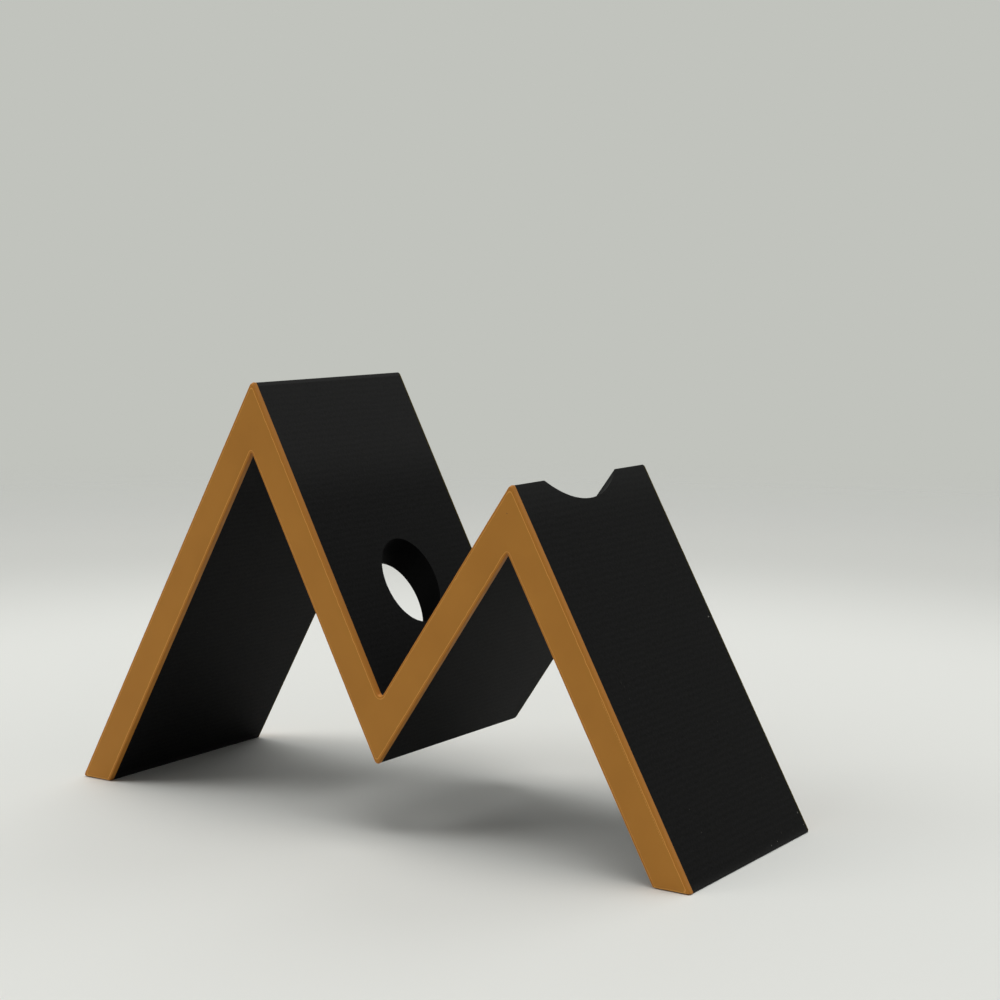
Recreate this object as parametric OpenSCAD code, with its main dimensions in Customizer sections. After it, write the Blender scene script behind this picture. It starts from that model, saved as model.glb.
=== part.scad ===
// Wine bottle holder: one folded zigzag band that stands on two feet.
// A slanted round hole in the band's second run takes a neck, and a round
// saddle cut across the right peak carries the body above it.
// The band is printed as one piece, gold face down: a gold layer, the black
// body and a thin gold layer at the back, fused flush with one another.
// The profile lies in the X-Z plane and runs back along Y. Z is up, and the
// origin is on the table, in the middle of the stand's width and depth.

/* [Stand] */
// Depth of the stand, from the front face to the back face
depth = 95; // [70:1:130]
// Width over the outer edges of the two feet
foot_span = 284.3; // [274:0.1:300]
// Thickness of the band, square to its faces
band_t = 12.5; // [9:0.1:14]

/* [Left peak] */
// Distance of the left ridge from the left foot's outer edge
left_peak_x = 92.4; // [84:0.1:100]
// Height of the left ridge, measured to its sharp corner
left_peak_z = 167.1; // [150:0.1:180]

/* [Valley] */
// Distance of the valley's line from the left foot's outer edge
valley_x = 153; // [148:0.1:158]
// Height of the valley's line on the upper side of the band
valley_z = 50.7; // [44:0.1:58]

/* [Right peak] */
// Distance of the right ridge from the left foot's outer edge
right_peak_x = 210.4; // [202:0.1:218]
// Height of the right ridge, measured to its sharp corner
right_peak_z = 135.3; // [124:0.1:145]

/* [Corners] */
// Radius of the rounded ridges
ridge_r = 0.4; // [0.2:0.1:2]
// Radius of the rounded keel under the valley
keel_r = 0.4; // [0.2:0.1:2]
// Radius of the feet's corners
foot_r = 0.4; // [0.2:0.1:2]
// Radius of the fillet in the valley
valley_r = 1.2; // [0.4:0.1:4]
// Radius of the fillet under each peak
apex_r = 0.6; // [0.4:0.1:4]
// Width of the chamfer round the front face
front_chamfer = 0.5; // [0.1:0.05:0.8]
// Width of the chamfer round the back face
back_chamfer = 0.15; // [0.1:0.05:0.4]

/* [Colour layers] */
// Thickness of the gold layer at the front
front_t = 2.8; // [1.2:0.2:6]
// Thickness of the gold layer at the back
back_t = 0.8; // [0.6:0.2:6]

/* [What it holds] */
// Diameter of the body that lies in the saddle
held_d = 81; // [74:0.5:90]
// Diameter of the neck that goes down through the hole
held_neck_d = 30; // [28:0.5:34]
// Angle above the table at which it lies
held_tilt = 52; // [46:1:58]
// Radius of the long curve of its shoulder
shoulder_curve_r = 80; // [60:1:110]

/* [Seat] */
// Depth of the saddle below the right ridge, square to what lies in it
saddle_depth = 9; // [5:0.5:12]
// Distance from the ridge, down the slant, to where the shoulder begins
shoulder_drop = 18; // [10:1:30]
// Clearance all round the body
body_clearance = 0.5; // [0.2:0.1:2]
// Clearance all round the neck
neck_clearance = 1; // [0.5:0.1:3]

/* [Hidden] */

black = "#1d1d1e";
gold = "#a9763a";

// Straight steps in each rounded corner, and sides of a round cut
corner_steps = 6;
$fn = 128;

// Sides of the full circle that draws the long shoulder curve
shoulder_sides = 256;

seat_r = held_d / 2 + body_clearance;
neck_r = held_neck_d / 2 + neck_clearance;

// Corners of the band's upper side, from the left foot to the right foot
upper = [
    [0, 0],
    [left_peak_x, left_peak_z],
    [valley_x, valley_z],
    [right_peak_x, right_peak_z],
    [foot_span, 0]
];
floor_line = [[0, 0], [foot_span, 0]];

function unit(v) = v / norm(v);

// A line moved sideways, to the right of the way it runs
function moved(line, distance) =
    let (d = unit(line[1] - line[0]), shift = distance * [d.y, -d.x])
    [line[0] + shift, line[1] + shift];

// The point where two lines cross
function meet(m, n) =
    let (a = m[1] - m[0], b = n[1] - n[0])
    m[0] + a * cross(n[0] - m[0], b) / cross(a, b);

// Lines of the band's under side, one below each of its four runs
under_run = [for (i = [0:3]) moved([upper[i], upper[i + 1]], band_t)];

left_foot_in = meet(under_run[0], floor_line);
left_apex = meet(under_run[0], under_run[1]);
keel = meet(under_run[1], under_run[2]);
right_apex = meet(under_run[2], under_run[3]);
right_foot_in = meet(under_run[3], floor_line);

// The band's closed outline, clockwise, as [corner, radius]. A fillet in an
// inside corner has a negative radius, because an inset makes it larger
corners = [
    [upper[0], foot_r],
    [upper[1], ridge_r],
    [upper[2], -valley_r],
    [upper[3], ridge_r],
    [upper[4], foot_r],
    [right_foot_in, foot_r],
    [right_apex, -apex_r],
    [keel, keel_r],
    [left_apex, -apex_r],
    [left_foot_in, foot_r]
];
corner_count = len(corners);

// Side of the outline that runs from corner i to the next one, moved inwards
function side(i, inset) =
    moved([corners[i % corner_count][0], corners[(i + 1) % corner_count][0]], inset);

// Points of one corner's arc, between the sides a and b that meet there
function corner_arc(a, b, radius) =
    let (
        p = meet(a, b),
        u = unit(a[0] - p),
        v = unit(b[1] - p),
        half = acos(u * v) / 2,
        centre = p + unit(u + v) * radius / sin(half),
        from = p + u * radius / tan(half) - centre,
        start = atan2(from.y, from.x),
        turn = (180 - 2 * half) * sign(cross(v, u))
    )
    [for (i = [0:corner_steps])
        let (angle = start + turn * i / corner_steps)
        centre + radius * [cos(angle), sin(angle)]];

// A corner's radius after an inset. An outside corner gets sharper, down to
// the least radius that is still drawn round.
least_r = 0.1;
function inset_radius(radius, inset) =
    radius < 0 ? inset - radius : max(radius - inset, least_r);

// The whole outline, drawn in by inset
function outline(inset = 0) =
    [for (i = [0:corner_count - 1])
        each corner_arc(
            side(i + corner_count - 1, inset),
            side(i, inset),
            inset_radius(corners[i][1], inset)
        )];

// Moves the profile's plane from the left foot to the middle of the stand
module centred() {
    translate([-foot_span / 2, 0, 0]) children();
}

// The band between two depths behind the front face
module band(from, to) {
    centred()
    translate([0, to - depth / 2, 0])
    rotate([90, 0, 0])
    linear_extrude(height = to - from)
    polygon(outline());
}

// The chamfered edge round the front face, at 0, or the back face, at depth.
// The slice is whole where it meets the band and drawn in by its own
// thickness at the face. Each end is a strip of quads across the band, from a
// point on its upper side to the one opposite it on its under side.
module chamfered_face(face, chamfer) {
    inwards = face < depth / 2 ? 1 : -1;
    size = len(outline());
    points = [
        for (p = outline()) [p.x, face + inwards * chamfer - depth / 2, p.y],
        for (p = outline(chamfer)) [p.x, face - depth / 2, p.y]
    ];
    rim = [for (i = [0:size - 1]) let (j = (i + 1) % size) [i, j, size + j, size + i]];
    across = [for (i = [0:size / 2 - 2]) [i, size - 1 - i, size - 2 - i, i + 1]];
    open_end = [for (q = across) [for (i = [3:-1:0]) size + q[i]]];
    faces = concat(rim, across, open_end);
    centred()
    polyhedron(
        points = points,
        faces = inwards > 0 ? faces : [for (f = faces) [for (i = [3:-1:0]) f[i]]]
    );
}

// Direction of the slant, and the foot of the line from the right ridge
// square to it
slant = [cos(held_tilt), sin(held_tilt)];
seat_point = upper[3] + (seat_r - saddle_depth) * [-slant.y, slant.x];

// How far the cut runs: down past the band's second run, whose hole is cut
// obliquely, and up past the ridge
neck_reach = norm(upper[3] - upper[2]) + band_t / sin(held_tilt) + 2 * neck_r;
body_reach = seat_r + band_t;

// Half of the seat's outline with its clearance: x is the distance from the
// slanted axis, and y runs up the slant from the right ridge
module seat_outline() {
    translate([0, -neck_reach]) square([neck_r, neck_reach]);
    translate([0, -shoulder_drop]) square([seat_r, shoulder_drop + body_reach]);
    intersection() {
        translate([0, -neck_reach]) square([seat_r, neck_reach - shoulder_drop]);
        translate([seat_r - shoulder_curve_r, -shoulder_drop])
            circle(r = shoulder_curve_r, $fn = shoulder_sides);
    }
}

// The round space that the held body, shoulder and neck take out of the band
module seat_cut() {
    centred()
    translate([seat_point.x, 0, seat_point.y])
    rotate([0, 90 - held_tilt, 0])
    rotate_extrude()
    seat_outline();
}

// The stand: black band, gold front layer and gold back layer in one solid,
// with the neck hole and the saddle cut through it
module zigzag_stand() {
    difference() {
        union() {
            color(gold) chamfered_face(0, front_chamfer);
            color(gold) band(front_chamfer, front_t);
            color(black) band(front_t, depth - back_t);
            color(gold) band(depth - back_t, depth - back_chamfer);
            color(gold) chamfered_face(depth, back_chamfer);
        }
        color(black) seat_cut();
    }
}

zigzag_stand();
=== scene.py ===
import math

import bmesh
import bpy
from mathutils import Matrix, Vector, noise


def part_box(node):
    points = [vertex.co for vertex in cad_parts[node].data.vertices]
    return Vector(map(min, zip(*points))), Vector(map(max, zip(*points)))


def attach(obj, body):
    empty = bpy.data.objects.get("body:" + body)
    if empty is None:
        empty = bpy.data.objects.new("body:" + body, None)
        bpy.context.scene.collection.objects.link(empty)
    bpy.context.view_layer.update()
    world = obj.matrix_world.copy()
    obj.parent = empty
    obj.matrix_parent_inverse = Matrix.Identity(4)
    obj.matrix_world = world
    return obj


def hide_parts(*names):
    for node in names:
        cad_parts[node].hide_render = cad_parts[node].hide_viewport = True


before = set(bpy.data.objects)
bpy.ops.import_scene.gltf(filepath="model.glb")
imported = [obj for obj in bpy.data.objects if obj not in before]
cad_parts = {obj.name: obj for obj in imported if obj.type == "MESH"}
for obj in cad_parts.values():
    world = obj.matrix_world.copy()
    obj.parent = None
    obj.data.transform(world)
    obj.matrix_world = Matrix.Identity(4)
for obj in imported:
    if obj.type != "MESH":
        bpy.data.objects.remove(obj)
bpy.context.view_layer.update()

# Gold front layer
# The first 2.8 mm of the print, in gold PLA, laid face down on a textured steel
# plate, which gave the face its fine grain. Its edge is rolled over, and the
# feet's front edges curled up off the table a little as they cooled.
MM = 0.001
FOOT_SPAN = 284.3 * MM
BAND_T = 12.5 * MM
LEFT_RIDGE = (92.4 * MM, 167.1 * MM)
VALLEY = (153 * MM, 50.7 * MM)
RIGHT_RIDGE = (210.4 * MM, 135.3 * MM)
RIDGE_R = 0.4 * MM
KEEL_R = 0.4 * MM
FOOT_R = 0.4 * MM
VALLEY_R = 1.8 * MM
APEX_R = 0.6 * MM
LEAST_R = 0.1 * MM
CORNER_STEPS = 8
RUN_STEP = 1.2 * MM
GOLD_FRONT_T = 2.8 * MM
EDGE_BULGE = 0.15 * MM
EDGE_BEAD_DROP = 0.1 * MM
EDGE_BEAD_R = 0.3 * MM
EDGE_BEAD_IN = 0.66 * MM
BRIGHT_STEP_W = 0.22 * MM
FOOT_CURL = 0.45 * MM
ROUNDED_TIP_R = 0.8 * MM
EDGE_STEPS = 5
FACES_FRONT = 0.7
CRISP_ANGLE = math.radians(32)
PLA_IOR = 1.46
front_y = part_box("zigzag_stand")[0][1]


def moved(line, distance):
    """A line of the profile moved sideways, to the right of the way it runs."""
    way = (line[1] - line[0]).normalized()
    shift = Vector((way.y, -way.x)) * distance
    return line[0] + shift, line[1] + shift


def meet(m, n):
    """The point where two lines of the profile cross."""
    a = m[1] - m[0]
    b = n[1] - n[0]
    gap = n[0] - m[0]
    return m[0] + a * (gap.x * b.y - gap.y * b.x) / (a.x * b.y - a.y * b.x)


upper = [Vector(point) for point in ((0, 0), LEFT_RIDGE, VALLEY, RIGHT_RIDGE, (FOOT_SPAN, 0))]
floor_line = (upper[0], upper[4])
under = [moved((upper[i], upper[i + 1]), BAND_T) for i in range(4)]

# The profile's corners, clockwise from the left foot, each with its radius.
# A fillet in an inside corner has a negative radius: an inset makes it larger.
corners = [
    (upper[0], FOOT_R),
    (upper[1], RIDGE_R),
    (upper[2], -VALLEY_R),
    (upper[3], RIDGE_R),
    (upper[4], FOOT_R),
    (meet(under[3], floor_line), FOOT_R),
    (meet(under[2], under[3]), -APEX_R),
    (meet(under[1], under[2]), KEEL_R),
    (meet(under[0], under[1]), -APEX_R),
    (meet(under[0], floor_line), FOOT_R),
]

# Steps along each side. The two sides of one run have equally many, so that
# straight strips across the band can close its open faces.
run_steps = [round((upper[i + 1] - upper[i]).length / RUN_STEP) for i in range(4)]
side_steps = run_steps + [1] + run_steps[::-1] + [1]

# The rolled edge isn't quite even: its inset wavers along the outline
EDGE_WAVER = 0.25
WAVER_LENGTH = 2.5 * MM

# Small marks that stand on a face, each a low chip with six sides, whose top is
# smaller than its rim
CHIP_SIDES = 6
CHIP_SINK = 0.02 * MM
CHIP_TOP = 0.6

# Material slots of the front layer; BRIGHT holds the painted edge highlight
WALL, BRIGHT, PLATE, SPECK = range(4)

# A wave texture turns through this many radians for each unit of its place
WAVE_TURN = 20


def corner_arc(before, after, radius):
    """Points of one rounded corner, between the two sides that meet there."""
    point = meet(before, after)
    u = (before[0] - point).normalized()
    v = (after[1] - point).normalized()
    half = math.acos(u.dot(v)) / 2
    centre = point + (u + v).normalized() * radius / math.sin(half)
    start = point + u * radius / math.tan(half) - centre
    start_angle = math.atan2(start.y, start.x)
    turn = math.copysign(math.pi - 2 * half, v.x * u.y - v.y * u.x)
    angles = [start_angle + turn * i / CORNER_STEPS for i in range(CORNER_STEPS + 1)]
    return [centre + Vector((math.cos(a), math.sin(a))) * radius for a in angles]


def inset_radius(radius, inset, tip_r):
    """A corner's radius after an inset: an inside corner widens, and an outside one sharpens
    unless tip_r rounds it off."""
    return inset - radius if radius < 0 else max(radius - inset, LEAST_R) + tip_r


def outline(inset=0.0, tip_r=0.0):
    """The band's closed outline drawn in by inset, with points along its runs too."""
    count = len(corners)
    sides = [moved((corners[i][0], corners[(i + 1) % count][0]), inset) for i in range(count)]
    radii = [inset_radius(radius, inset, tip_r) for _, radius in corners]
    arcs = [corner_arc(sides[i - 1], sides[i], radii[i]) for i in range(count)]
    points = []
    for i, arc in enumerate(arcs):
        points += arc
        end = arcs[(i + 1) % count][0]
        points += [arc[-1].lerp(end, k / side_steps[i]) for k in range(1, side_steps[i])]
    return points


def meshed(name, work):
    """A mesh of the finished work, which is freed."""
    mesh = bpy.data.meshes.new(name)
    work.to_mesh(mesh)
    work.free()
    return mesh


def placed(name, data):
    """A new object in the scene, with the given mesh, lamp or camera."""
    thing = bpy.data.objects.new(name, data)
    bpy.context.scene.collection.objects.link(thing)
    return thing


def lofted_band(name, rings, materials):
    """A closed stretch of the band, from a joining face to the face that shows. Each ring is
    (depth behind the front face, inset, extra radius of the outside corners, slot of the wall
    that leads to the next ring). The last one's slot is that of the face it bounds."""
    work = bmesh.new()
    uv = work.loops.layers.uv.new("run")
    full = outline()
    size = len(full)
    along = [0.0]
    for i in range(size):
        along.append(along[-1] + (full[(i + 1) % size] - full[i]).length)
    waver = [1 + EDGE_WAVER * noise.noise((a / WAVER_LENGTH, 0, 0)) for a in along[:-1]]
    loft = []
    for depth, inset, tip_r, _ in rings:
        ring = [whole.lerp(drawn, k) for whole, drawn, k in zip(full, outline(inset, tip_r), waver)]
        curl = FOOT_CURL * max(1 - depth / GOLD_FRONT_T, 0)
        spots = [(p.x - FOOT_SPAN / 2, front_y + depth, max(p.y, curl)) for p in ring]
        loft.append([work.verts.new(spot) for spot in spots])
    for k in range(len(rings) - 1):
        near, far = rings[k][0], rings[k + 1][0]
        for i in range(size):
            j = (i + 1) % size
            face = work.faces.new((loft[k][i], loft[k][j], loft[k + 1][j], loft[k + 1][i]))
            face.material_index = rings[k][3]
            places = ((along[i], near), (along[i + 1], near), (along[i + 1], far), (along[i], far))
            for loop, place in zip(face.loops, places):
                loop[uv].uv = place
    for ring, slot in ((loft[0], rings[0][3]), (loft[-1], rings[-1][3])):
        for i in range(size // 2 - 1):
            face = work.faces.new((ring[i], ring[size - 1 - i], ring[size - 2 - i], ring[i + 1]))
            face.material_index = slot
            for loop in face.loops:
                loop[uv].uv = loop.vert.co.xz
    bmesh.ops.recalc_face_normals(work, faces=work.faces)
    mesh = meshed(name, work)
    for material in materials:
        mesh.materials.append(material)
    return placed(name, mesh)


def rolled_edge(face, inwards, radius, tip_r, bulge=0.0):
    """Rings of an edge rolled over to the depth of a face. Inwards is 1 where the piece lies
    behind that face, and -1 where it lies before it."""
    rings = []
    for i in range(EDGE_STEPS + 1):
        turn = math.pi / 2 * i / EDGE_STEPS
        behind = face + inwards * radius * (1 - math.sin(turn))
        inset = radius * (1 - math.cos(turn)) - bulge
        rings.append((behind, inset, tip_r * (1 + i / EDGE_STEPS) / 2, WALL))
    return rings


def on_side(run, distance, depth, is_under=False):
    """A point on one side of a run, a distance down it, with the ways that it runs and faces."""
    start, end = under[run] if is_under else (upper[run], upper[run + 1])
    way = (end - start).normalized()
    facing = Vector((way.y, -way.x)) if is_under else Vector((-way.y, way.x))
    point = start + way * distance
    place = Vector((point.x - FOOT_SPAN / 2, front_y + depth, point.y))
    return place, Vector((way.x, 0, way.y)), Vector((facing.x, 0, facing.y))


def chip(work, place, along, out, size, slot):
    """A low six-sided chip on a face, its rim sunk a little into it. Size is its length along
    the given way, its width and its height."""
    length, width, height = size
    across = out.cross(along)
    rim = []
    top = []
    for i in range(CHIP_SIDES):
        turn = math.tau * i / CHIP_SIDES
        spoke = along * (length / 2 * math.cos(turn)) + across * (width / 2 * math.sin(turn))
        rim.append(work.verts.new(place + spoke - out * CHIP_SINK))
        top.append(work.verts.new(place + spoke * CHIP_TOP + out * height))
    faces = [work.faces.new(top), work.faces.new(rim[::-1])]
    for i in range(CHIP_SIDES):
        j = (i + 1) % CHIP_SIDES
        faces.append(work.faces.new((rim[i], rim[j], top[j], top[i])))
    for face in faces:
        face.material_index = slot


def smooth_with_crisp_edges(piece):
    """Shades the rounded edges smooth and keeps the flat sides flat."""
    piece.data.shade_smooth()
    piece.data.set_sharp_from_angle(angle=CRISP_ANGLE)
    weighted = piece.modifiers.new("flat_sides", "WEIGHTED_NORMAL")
    weighted.keep_sharp = True


def linear(hex_colour):
    """A colour written as sRGB hex, as the linear values that a shader takes."""
    parts = [int(hex_colour[i : i + 2], 16) / 255 for i in (1, 3, 5)]
    return [p / 12.92 if p <= 0.04045 else ((p + 0.055) / 1.055) ** 2.4 for p in parts] + [1]


def add(tree, kind, inputs=(), **settings):
    """Adds a node. inputs gives each socket, by name or number, a value or a node's output."""
    node = tree.nodes.new("ShaderNode" + kind)
    for name, value in settings.items():
        setattr(node, name, value)
    for name, value in dict(inputs).items():
        if isinstance(value, bpy.types.NodeSocket):
            tree.links.new(value, node.inputs[name])
        else:
            node.inputs[name].default_value = value
    return node


def new_material(name):
    """An empty material and its node tree."""
    material = bpy.data.materials.new(name)
    material.use_nodes = True
    material.node_tree.nodes.clear()
    return material, material.node_tree


def wave_scale(period):
    """The scale at which a wave texture's bands come once in each period."""
    return math.tau / (WAVE_TURN * period)


# PLA printed against a textured plate: an even satin with the plate's grain,
# which breaks every reflection into a soft bloom. Ridges of 0.3 to 0.5 mm.
PLATE_GRAIN = 0.4 * MM
CLOUD_SIZE = 22 * MM
gold_plate, tree = new_material("gold_pla_textured_plate")
place = add(tree, "TexCoord").outputs["Object"]
grain = add(
    tree,
    "TexNoise",
    {"Vector": place, "Scale": 1 / PLATE_GRAIN, "Detail": 1.5, "Roughness": 0.5},
)
cloud = add(tree, "TexNoise", {"Vector": place, "Scale": 1 / CLOUD_SIZE, "Detail": 2.0})
tone = add(tree, "ValToRGB", {"Fac": cloud.outputs["Fac"]})
tone.color_ramp.elements[0].position = 0.3
tone.color_ramp.elements[0].color = linear("#b77b2d")
tone.color_ramp.elements[1].position = 0.7
tone.color_ramp.elements[1].color = linear("#be8131")
bump = add(
    tree, "Bump", {"Height": grain.outputs["Fac"], "Strength": 0.25, "Distance": 0.03 * MM}
)
shader = add(
    tree,
    "BsdfPrincipled",
    {
        "Base Color": tone.outputs["Color"],
        "Roughness": 0.6,
        "IOR": PLA_IOR,
        "Specular IOR Level": 0.3,
        "Normal": bump.outputs["Normal"],
    },
)
add(tree, "OutputMaterial", {"Surface": shader.outputs["BSDF"]})

# PLA printed in layers: its sides are a little redder than the face, with the
# fine lines of the layers. They are 0.2 mm thick, too fine to show, so they
# are drawn three at a time.
LAYER_LINE = 0.6 * MM
gold_wall, tree = new_material("gold_pla_printed_layers")
run_place = add(tree, "UVMap", uv_map="run").outputs["UV"]
layers = add(
    tree,
    "TexWave",
    {"Vector": run_place, "Scale": wave_scale(LAYER_LINE), "Distortion": 0.4, "Detail": 1.0},
    wave_type="BANDS",
    bands_direction="Y",
)
bump = add(tree, "Bump", {"Height": layers.outputs["Fac"], "Strength": 0.12, "Distance": 0.03 * MM})
shader = add(
    tree,
    "BsdfPrincipled",
    {
        "Base Color": linear("#bb7b30"),
        "Roughness": 0.55,
        "IOR": PLA_IOR,
        "Specular IOR Level": 0.2,
        "Normal": bump.outputs["Normal"],
    },
)
add(tree, "OutputMaterial", {"Surface": shader.outputs["BSDF"]})

# PLA pressed smooth at the step between the edge bead and the rest of the
# face: glossier than both, and painted lighter as a highlight, so a bright line
# runs along each edge.
gold_edge_highlight, tree = new_material("gold_pla_painted_edge_highlight")
shader = add(
    tree,
    "BsdfPrincipled",
    {"Base Color": linear("#db9c45"), "Roughness": 0.4, "IOR": PLA_IOR, "Specular IOR Level": 0.4},
)
add(tree, "OutputMaterial", {"Surface": shader.outputs["BSDF"]})

# The plate pressed the first layers out a little. The outermost bead lies a
# hair lower than the rest of the face, with a fine step between them that
# carries the painted highlight.
rings = [(GOLD_FRONT_T, 0, 0, WALL), (GOLD_FRONT_T / 2, -EDGE_BULGE, 0, WALL)]
rings += rolled_edge(EDGE_BEAD_DROP, 1, EDGE_BEAD_R, ROUNDED_TIP_R, EDGE_BULGE)
rings.append((EDGE_BEAD_DROP, EDGE_BEAD_IN, ROUNDED_TIP_R, BRIGHT))
rings.append((0, EDGE_BEAD_IN + BRIGHT_STEP_W, ROUNDED_TIP_R, PLATE))
gold_front = lofted_band("gold_front_layer", rings, [gold_wall, gold_edge_highlight, gold_plate])

# Along the feet's lower edges the whole bead is pressed smooth and carries
# the painted highlight too, standing in for the light the floor throws up on it
for polygon in gold_front.data.polygons:
    if polygon.center.z < EDGE_BEAD_IN and -polygon.normal.y > FACES_FRONT:
        polygon.material_index = BRIGHT

# A thread of loose first-layer bead lies broken along the fourth run's edge,
# its chips coloured with the painted edge highlight, and one dark burnt speck
# is pressed into the face beside the right ridge
THREAD_FROM, THREAD_TO = 82 * MM, 136 * MM
THREAD_PITCH = 1.1 * MM
THREAD_INSET = 1.25 * MM
THREAD_CHIP_LENGTH = 0.85 * MM
THREAD_W = 0.22 * MM
THREAD_H = 0.05 * MM
CHIPS_PER_SWAY = 3
UNEVEN_LENGTH = 0.5
SPECK_INSET = 5.97 * MM
SPECK_DISTANCE = 8.32 * MM
SPECK_SIZE = (0.5 * MM, 0.4 * MM, 0.03 * MM)
FOURTH_RUN = 3

# PLA scorched on the nozzle: dark brown and dull
burnt_speck, tree = new_material("burnt_pla")
shader = add(tree, "BsdfPrincipled", {"Base Color": linear("#4a3216"), "Roughness": 0.6})
add(tree, "OutputMaterial", {"Surface": shader.outputs["BSDF"]})
gold_front.data.materials.append(burnt_speck)
work = bmesh.new()
work.from_mesh(gold_front.data)
outwards = Vector((0, -1, 0))
for i in range(round((THREAD_TO - THREAD_FROM) / THREAD_PITCH)):
    place, along, facing = on_side(FOURTH_RUN, THREAD_FROM + THREAD_PITCH * i, 0)
    sway = noise.noise((i / CHIPS_PER_SWAY, 0, 0))
    place -= facing * (THREAD_INSET + sway * THREAD_W)
    size = (THREAD_CHIP_LENGTH * (1 + UNEVEN_LENGTH * sway), THREAD_W, THREAD_H)
    chip(work, place, along, outwards, size, BRIGHT)
place, along, facing = on_side(FOURTH_RUN, SPECK_DISTANCE, 0)
chip(work, place - facing * SPECK_INSET, along, outwards, SPECK_SIZE, SPECK)
work.to_mesh(gold_front.data)
work.free()
smooth_with_crisp_edges(gold_front)
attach(gold_front, "root")
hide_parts("zigzag_stand")

# Black body
# The main part of the print, in matt black PLA, fused to the gold layers. The
# slanted neck hole and the round saddle were left open in it as it was
# printed, so their walls have the same layers as its sides.
GOLD_BACK_T = 0.8 * MM
HELD_R = 40.5 * MM
HELD_NECK_R = 15 * MM
HELD_TILT = math.radians(52)
SHOULDER_CURVE_R = 80 * MM
SADDLE_DEPTH = 9 * MM
SHOULDER_DROP = 18 * MM
BODY_CLEARANCE = 0.5 * MM
NECK_CLEARANCE = 1 * MM
SEAT_SIDES = 360
SHOULDER_STEPS = 60

seat_r = HELD_R + BODY_CLEARANCE
neck_r = HELD_NECK_R + NECK_CLEARANCE
slant = Vector((math.cos(HELD_TILT), math.sin(HELD_TILT)))
seat_point = upper[3] + Vector((-slant.y, slant.x)) * (seat_r - SADDLE_DEPTH)
neck_reach = (upper[3] - upper[2]).length + BAND_T / math.sin(HELD_TILT) + 2 * neck_r
body_reach = seat_r + BAND_T


def seat_outline():
    """Half of the seat's outline, from the deep end of the neck to the top of the body, as
    (distance from the slanted axis, distance up the slant from the right ridge)."""
    centre = seat_r - SHOULDER_CURVE_R
    neck_end = math.acos((neck_r - centre) / SHOULDER_CURVE_R)
    curve = []
    for i in range(SHOULDER_STEPS + 1):
        angle = neck_end * (1 - i / SHOULDER_STEPS)
        away = centre + SHOULDER_CURVE_R * math.cos(angle)
        curve.append((away, -SHOULDER_DROP - SHOULDER_CURVE_R * math.sin(angle)))
    neck = [(0, -neck_reach), (neck_r, -neck_reach)]
    return neck + curve + [(seat_r, body_reach), (0, body_reach)]


def lathe(name, half_outline, sides):
    """A closed solid turned about its own Z axis from half of its outline."""
    work = bmesh.new()
    rings = []
    for radius, height in half_outline:
        if radius == 0:
            rings.append([work.verts.new((0, 0, height))] * sides)
            continue
        angles = [math.tau * i / sides for i in range(sides)]
        spots = [(radius * math.cos(a), radius * math.sin(a), height) for a in angles]
        rings.append([work.verts.new(spot) for spot in spots])
    for low, high in zip(rings, rings[1:]):
        for i in range(sides):
            j = (i + 1) % sides
            work.faces.new(dict.fromkeys((low[i], low[j], high[j], high[i])))
    bmesh.ops.recalc_face_normals(work, faces=work.faces)
    return placed(name, meshed(name, work))


# Matt black PLA printed in layers: nearly all that shows is the room's soft
# reflection, with a fine dry grain. The printer's drive leaves faint ripples
# across each run, 2.45 mm apart, bumped and also painted in faint light and
# shade, and the layers are drawn as on the gold sides.
RIPPLE = 2.45 * MM
RIPPLE_PAINTED_SHADE = 0.06
BLACK_GRAIN = 0.8 * MM
BLACK_ROUGHNESS = 0.62
BLACK_SPECULAR = 0.075
black_wall, tree = new_material("black_pla_printed_layers")
run_place = add(tree, "UVMap", uv_map="run").outputs["UV"]
object_place = add(tree, "TexCoord").outputs["Object"]
ripples = add(
    tree,
    "TexWave",
    {
        "Vector": run_place,
        "Scale": wave_scale(RIPPLE),
        "Distortion": 2.0,
        "Detail": 2.0,
        "Detail Scale": 0.6,
    },
    wave_type="BANDS",
    bands_direction="X",
    wave_profile="SIN",
)
ripple_bump = add(
    tree, "Bump", {"Height": ripples.outputs["Fac"], "Strength": 0.3, "Distance": 0.03 * MM}
)
layers = add(
    tree,
    "TexWave",
    {"Vector": run_place, "Scale": wave_scale(LAYER_LINE), "Distortion": 0.4, "Detail": 1.0},
    wave_type="BANDS",
    bands_direction="Y",
)
layer_bump = add(
    tree,
    "Bump",
    {
        "Height": layers.outputs["Fac"],
        "Strength": 0.1,
        "Distance": 0.03 * MM,
        "Normal": ripple_bump.outputs["Normal"],
    },
)

# Painted light: the band is painted paler from 118 mm up to 142 mm, most on
# the left peak, where light from above falls, and a thin painted highlight runs
# along the left ridge at its very top. Just above the floor a pale band, broken
# up by noise, is partly dust and partly a painted highlight of the feet's
# rounded lower edges. Each sets in over a stretch of heights.
UPPER_LIGHT_FROM, UPPER_LIGHT_TO = 118 * MM, 142 * MM
RIDGE_HIGHLIGHT_FROM, RIDGE_HIGHLIGHT_TO = 165 * MM, 165.6 * MM
DUST_AND_SHEEN_FROM, DUST_AND_SHEEN_TO = 2.6 * MM, 0.8 * MM
DUST_AND_SHEEN_GRAIN = 0.9 * MM
height = add(tree, "SeparateXYZ", {"Vector": object_place}).outputs["Z"]
painted_upper_light = add(
    tree,
    "MapRange",
    {"Value": height, "From Min": UPPER_LIGHT_FROM, "From Max": UPPER_LIGHT_TO, "To Max": 0.4},
    interpolation_type="SMOOTHSTEP",
)
painted_ridge_highlight = add(
    tree, "MapRange", {"Value": height, "From Min": RIDGE_HIGHLIGHT_FROM, "From Max": RIDGE_HIGHLIGHT_TO}
)
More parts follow.
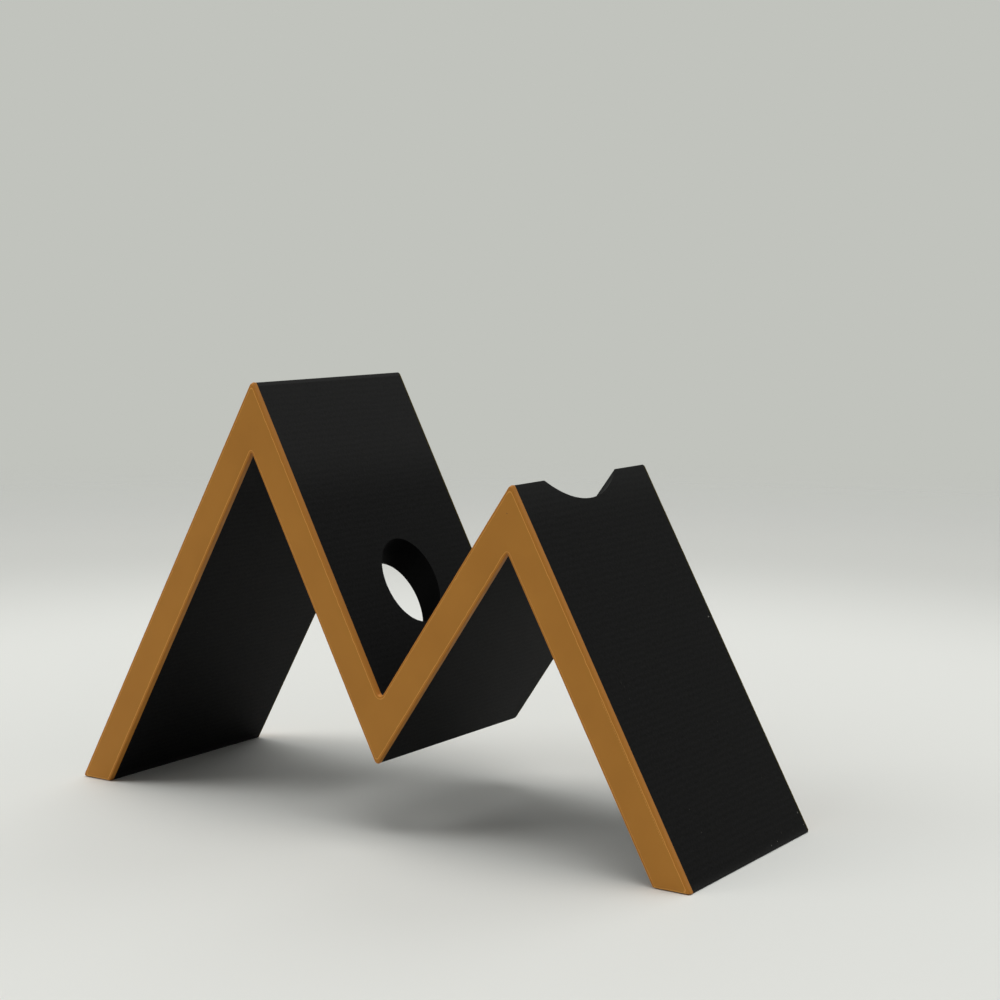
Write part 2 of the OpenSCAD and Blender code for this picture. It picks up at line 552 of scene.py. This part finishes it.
painted_light_on_top = add(
    tree,
    "Math",
    {0: painted_upper_light.outputs["Result"], 1: painted_ridge_highlight.outputs["Result"]},
    operation="MAXIMUM",
)
near_floor = add(
    tree,
    "MapRange",
    {"Value": height, "From Min": DUST_AND_SHEEN_FROM, "From Max": DUST_AND_SHEEN_TO, "To Max": 0.75},
)
# Noise that breaks up the pale band above the floor: dust and painted highlight
dust = add(
    tree,
    "TexNoise",
    {"Vector": object_place, "Scale": 1 / DUST_AND_SHEEN_GRAIN, "Detail": 3.0, "Roughness": 0.7},
)
dust_and_sheen = add(
    tree,
    "Math",
    {0: near_floor.outputs["Result"], 1: dust.outputs["Fac"]},
    operation="MULTIPLY",
)
painted_light_and_dust = add(tree, "Math", {0: painted_light_on_top.outputs[0], 1: dust_and_sheen.outputs[0]}, operation="MAXIMUM")
grain = add(tree, "TexNoise", {"Vector": object_place, "Scale": 1 / BLACK_GRAIN, "Detail": 2.0})
grain = add(
    tree,
    "MapRange",
    {"Value": grain.outputs["Fac"], "From Min": 0.3, "From Max": 0.7, "To Max": 0.22},
)
# The grain, with the ripples' painted light and shade added to it
grain = add(
    tree,
    "Math",
    {0: ripples.outputs["Fac"], 1: RIPPLE_PAINTED_SHADE, 2: grain.outputs["Result"]},
    operation="MULTIPLY_ADD",
)
# Grain and dust, with the painted light and highlight added
grain_dust_and_painted_light = add(tree, "Math", {0: painted_light_and_dust.outputs[0], 1: grain.outputs[0]})
tone = add(tree, "ValToRGB", {"Fac": grain_dust_and_painted_light.outputs[0]})
tone.color_ramp.elements[0].color = linear("#030304")
tone.color_ramp.elements[1].color = linear("#2c2c2c")
shader = add(
    tree,
    "BsdfPrincipled",
    {
        "Base Color": tone.outputs["Color"],
        "Roughness": BLACK_ROUGHNESS,
        "IOR": PLA_IOR,
        "Specular IOR Level": BLACK_SPECULAR,
        "Normal": layer_bump.outputs["Normal"],
    },
)
add(tree, "OutputMaterial", {"Surface": shader.outputs["BSDF"]})

# The same matt black on the walls of the hole and the saddle, where the
# layers lie square to the depth
black_seat, tree = new_material("black_pla_seat_wall")
place = add(tree, "TexCoord").outputs["Object"]
layers = add(
    tree,
    "TexWave",
    {"Vector": place, "Scale": wave_scale(LAYER_LINE), "Distortion": 0.4, "Detail": 1.0},
    wave_type="BANDS",
    bands_direction="Y",
)
bump = add(tree, "Bump", {"Height": layers.outputs["Fac"], "Strength": 0.3, "Distance": 0.05 * MM})
shader = add(
    tree,
    "BsdfPrincipled",
    {
        "Base Color": linear("#0a0a0b"),
        "Roughness": BLACK_ROUGHNESS,
        "IOR": PLA_IOR,
        "Specular IOR Level": BLACK_SPECULAR,
        "Normal": bump.outputs["Normal"],
    },
)
add(tree, "OutputMaterial", {"Surface": shader.outputs["BSDF"]})

# House dust: pale specks and short lint, and older specks that have sunk into
# the grain and hardly show
pale_dust, tree = new_material("pale_dust")
shader = add(tree, "BsdfPrincipled", {"Base Color": linear("#6f6e68"), "Roughness": 0.9})
add(tree, "OutputMaterial", {"Surface": shader.outputs["BSDF"]})
faint_dust, tree = new_material("faint_dust")
shader = add(
    tree,
    "BsdfPrincipled",
    {"Base Color": linear("#353532"), "Roughness": 0.9, "Specular IOR Level": 0.1},
)
add(tree, "OutputMaterial", {"Surface": shader.outputs["BSDF"]})

SIDE, SEAT, PALE, FAINT = range(4)
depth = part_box("zigzag_stand")[1][1] - front_y
rings = [(depth - GOLD_BACK_T, 0, 0, SIDE), (GOLD_FRONT_T, 0, 0, SIDE)]
black_body = lofted_band("black_body", rings, [black_wall, black_seat, pale_dust, faint_dust])
seat_cutter = lathe("seat_cutter", seat_outline(), SEAT_SIDES)
for material in (black_wall, black_seat):
    seat_cutter.data.materials.append(material)
for polygon in seat_cutter.data.polygons:
    polygon.material_index = SEAT
seat_place = Matrix.Translation((seat_point.x - FOOT_SPAN / 2, 0, seat_point.y))
seat_cutter.matrix_world = seat_place @ Matrix.Rotation(math.pi / 2 - HELD_TILT, 4, "Y")
cut = black_body.modifiers.new("seat", "BOOLEAN")
cut.operation = "DIFFERENCE"
cut.solver = "EXACT"
cut.object = seat_cutter
bpy.context.view_layer.update()
evaluated = black_body.evaluated_get(bpy.context.evaluated_depsgraph_get())
cut_mesh = bpy.data.meshes.new_from_object(evaluated)
black_body.modifiers.clear()
black_body.data = cut_mesh
bpy.data.objects.remove(seat_cutter)

# The rims of the hole and the saddle are rounded off a little, as the nozzle
# turns there. The dust is laid on after that. Each speck is (run from 0 to 3,
# whether it is on the under side, distance down the run, depth behind the front
# face, size along the run, size across it), in mm.
RIM_R = 0.3 * MM
DUST_HEIGHT = 0.08 * MM
PALE_SPECKS = (
    (3, False, 64.8, 92, 0.7, 1.1),
    (3, False, 145.7, 92.6, 1.0, 0.5),
    (3, False, 150.7, 93, 0.5, 0.5),
    (3, False, 152, 64.5, 0.6, 0.6),
    (3, False, 151.7, 69.7, 0.5, 0.5),
)
FAINT_SPECKS = (
    (3, False, 78.3, 14.6, 1.3, 0.3),
    (3, False, 79.9, 15.6, 0.8, 0.3),
    (3, False, 84.7, 15.4, 1.2, 0.3),
    (3, False, 103.1, 65.4, 0.5, 0.5),
    (3, False, 128.3, 78.4, 0.5, 0.5),
    (3, False, 127.9, 22.3, 0.4, 1.0),
    (3, False, 136.8, 23.4, 0.5, 1.0),
    (3, False, 46.8, 57.1, 0.4, 0.4),
    (3, False, 42, 85.1, 0.4, 0.4),
    (3, False, 149.6, 75, 1.3, 0.4),
    (3, False, 150.9, 83.6, 0.5, 0.5),
    (0, True, 75.6, 91.7, 1.2, 0.3),
    (0, True, 79.2, 16.1, 0.5, 0.5),
    (0, True, 50.8, 39.2, 0.5, 0.5),
    (2, True, 11, 89.5, 0.5, 0.5),
)
work = bmesh.new()
work.from_mesh(black_body.data)
rim_edges = [e for e in work.edges if len({face.material_index for face in e.link_faces}) == 2]
bmesh.ops.bevel(
    work,
    geom=rim_edges,
    offset=RIM_R,
    segments=2,
    profile=0.5,
    affect="EDGES",
    clamp_overlap=True,
)
for specks, slot in ((PALE_SPECKS, PALE), (FAINT_SPECKS, FAINT)):
    for run, is_under, distance, behind, length, width in specks:
        place, along, facing = on_side(run, distance * MM, behind * MM, is_under)
        chip(work, place, along, facing, (length * MM, width * MM, DUST_HEIGHT), slot)
work.to_mesh(black_body.data)
work.free()
smooth_with_crisp_edges(black_body)
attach(black_body, "root")
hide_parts("zigzag_stand")

# Gold back layer
# The last four layers of the print, 0.8 mm in gold PLA again. The first three
# still carry black from the nozzle, so only the rim shows clean gold. The face
# shows the nozzle's passes, which close the print inside a double border.
BACK_EDGE_R = 0.15 * MM
BACK_TIP_R = 0.7 * MM
PASS_W = 0.84 * MM
BORDER_GROOVES = (PASS_W, 2 * PASS_W)
GROOVE_W = 0.16 * MM

# PLA laid in slanted passes that close the print: a satin with a fine ribbing
gold_back_face, tree = new_material("gold_pla_top_passes")
place = add(tree, "TexCoord").outputs["Object"]
turned = add(tree, "Mapping", {"Vector": place, "Rotation": (0, math.radians(45), 0)})
passes = add(
    tree,
    "TexWave",
    {"Vector": turned.outputs["Vector"], "Scale": wave_scale(PASS_W), "Distortion": 0.2},
    wave_type="BANDS",
    bands_direction="X",
)
bump = add(tree, "Bump", {"Height": passes.outputs["Fac"], "Strength": 0.25, "Distance": 0.04 * MM})
shader = add(
    tree,
    "BsdfPrincipled",
    {
        "Base Color": linear("#b87c2d"),
        "Roughness": 0.5,
        "IOR": PLA_IOR,
        "Specular IOR Level": 0.3,
        "Normal": bump.outputs["Normal"],
    },
)
add(tree, "OutputMaterial", {"Surface": shader.outputs["BSDF"]})

# Gold PLA mixed with the black that was left in the nozzle: a dark olive
gold_mixed, tree = new_material("gold_pla_mixed_with_black")
shader = add(
    tree,
    "BsdfPrincipled",
    {
        "Base Color": linear("#403b02"),
        "Roughness": BLACK_ROUGHNESS,
        "IOR": PLA_IOR,
        "Specular IOR Level": BLACK_SPECULAR,
    },
)
add(tree, "OutputMaterial", {"Surface": shader.outputs["BSDF"]})

PASSES, MIXED = 1, 2
rings = [(depth - GOLD_BACK_T, 0, 0, MIXED)]
rings += rolled_edge(depth, -1, BACK_EDGE_R, BACK_TIP_R)
for groove in BORDER_GROOVES:
    rings.append((depth, groove - GROOVE_W / 2, BACK_TIP_R, WALL))
    rings.append((depth - GROOVE_W / 2, groove, BACK_TIP_R, WALL))
    rings.append((depth, groove + GROOVE_W / 2, BACK_TIP_R, WALL))
rings[-1] = (*rings[-1][:3], PASSES)
gold_back = lofted_band("gold_back_layer", rings, [gold_wall, gold_back_face, gold_mixed])
smooth_with_crisp_edges(gold_back)
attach(gold_back, "root")
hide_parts("zigzag_stand")

# Floor
# A pale table top, round so that it looks the same from every side, with the
# fall of the lamps' light painted into its colour. It falls off into the grey of
# the room, which the world gives behind it.
FLOOR_R = 2.4
FLOOR_SIDES = 96
FADE_FROM, FADE_TO = 0.7, 1.5

# The paint's colour at four distances from the middle: a painted pool of light
# round the stand, with painted shade further out
FLOOR_PAINTED_LIGHT_TONES = ((0.0, "#e1e2dd"), (0.38, "#eaebe6"), (0.75, "#d1d2cd"), (1.05, "#cecfcb"))

# Matt paint, palest in a ring round the stand and greyer further out: painted
# light and shade. It clears toward the rim, where the room shows in its place.
floor_paint, tree = new_material("pale_table_paint_with_painted_light")
place = add(tree, "TexCoord").outputs["Object"]
reach = add(tree, "VectorMath", {0: place}, operation="LENGTH").outputs["Value"]
share = add(tree, "Math", {0: reach, 1: FLOOR_R}, operation="DIVIDE")
fall = add(tree, "ValToRGB", {"Fac": share.outputs[0]})
ramp = fall.color_ramp
ramp.interpolation = "EASE"
stops = [(distance / FLOOR_R, linear(colour)) for distance, colour in FLOOR_PAINTED_LIGHT_TONES]
ramp.elements[0].position, ramp.elements[0].color = stops[0]
ramp.elements[1].position, ramp.elements[1].color = stops[1]
for position, colour in stops[2:]:
    ramp.elements.new(position).color = colour
paint = add(tree, "BsdfPrincipled", {"Base Color": fall.outputs["Color"], "Roughness": 0.7})
clear = add(tree, "BsdfTransparent")
fade = add(
    tree,
    "MapRange",
    {"Value": reach, "From Min": FADE_FROM, "From Max": FADE_TO},
    interpolation_type="SMOOTHSTEP",
)
faded = add(
    tree,
    "MixShader",
    {"Fac": fade.outputs["Result"], 1: paint.outputs["BSDF"], 2: clear.outputs["BSDF"]},
)
add(tree, "OutputMaterial", {"Surface": faded.outputs["Shader"]})
work = bmesh.new()
bmesh.ops.create_circle(work, cap_ends=True, radius=FLOOR_R, segments=FLOOR_SIDES)
floor = placed("floor", meshed("floor", work))
floor.data.materials.append(floor_paint)

# Room
# Soft grey light from all round, a large soft panel overhead that does most of
# the work, and two weaker ones, at the front left and behind.
ROOM_GREY = "#c1c3bd"
world = bpy.data.worlds.new("room")
bpy.context.scene.world = world
world.use_nodes = True
tree = world.node_tree
tree.nodes.clear()
rays = add(tree, "LightPath")
seen = add(
    tree,
    "Math",
    {0: rays.outputs["Is Camera Ray"], 1: rays.outputs["Is Glossy Ray"]},
    operation="MAXIMUM",
)
seen = add(
    tree,
    "Math",
    {0: seen.outputs[0], 1: rays.outputs["Is Transmission Ray"]},
    operation="MAXIMUM",
)
fill = add(tree, "Background", {"Color": linear("#ffffff"), "Strength": 0.2})
grey = add(tree, "Background", {"Color": linear(ROOM_GREY), "Strength": 1.0})
mixed = add(
    tree,
    "MixShader",
    {"Fac": seen.outputs[0], 1: fill.outputs["Background"], 2: grey.outputs["Background"]},
)
add(tree, "OutputWorld", {"Surface": mixed.outputs["Shader"]})

# Each panel is (name, width, watts, place). All are turned to the stand.
LAMP_TARGET = Vector((0, 0, 0.05))
LAMPS = (
    ("overhead_panel", 2.4, 58.8, (0, 0, 3.2)),
    ("left_panel", 2.0, 24.4, (-1.8, -1.6, 2.4)),
    ("back_panel", 2.0, 13.2, (0, 2.4, 2.4)),
)
for name, size, watts, spot in LAMPS:
    panel = bpy.data.lights.new(name, "AREA")
    panel.shape = "DISK"
    panel.size = size
    panel.energy = watts
    lamp = placed(name, panel)
    lamp.location = spot
    lamp.rotation_euler = (LAMP_TARGET - lamp.location).to_track_quat("-Z", "Y").to_euler()

# Camera
# It stands to the right of the stand and a little above it, at the
# photograph's angle, with the lens found from the stand's straight edges.
LENS = 73.8
SENSOR = 36.0
CAMERA_PLACE = Vector((0.45943, -0.64599, 0.213985))
CAMERA_RIGHT = Vector((0.833997, 0.55174, 0.005645))
CAMERA_DOWN = Vector((0.069082, -0.094263, -0.993148))
CAMERA_AHEAD = Vector((-0.547427, 0.828672, -0.11673))
NEAREST_SEEN = 0.01
view = bpy.data.cameras.new("camera")
view.lens = LENS
view.sensor_width = SENSOR
view.clip_start = NEAREST_SEEN
camera = placed("camera", view)
turn = Matrix((CAMERA_RIGHT, -CAMERA_DOWN, -CAMERA_AHEAD)).transposed().to_4x4()
camera.matrix_world = Matrix.Translation(CAMERA_PLACE) @ turn
bpy.context.scene.camera = camera
bpy.context.scene.view_settings.view_transform = "Standard"
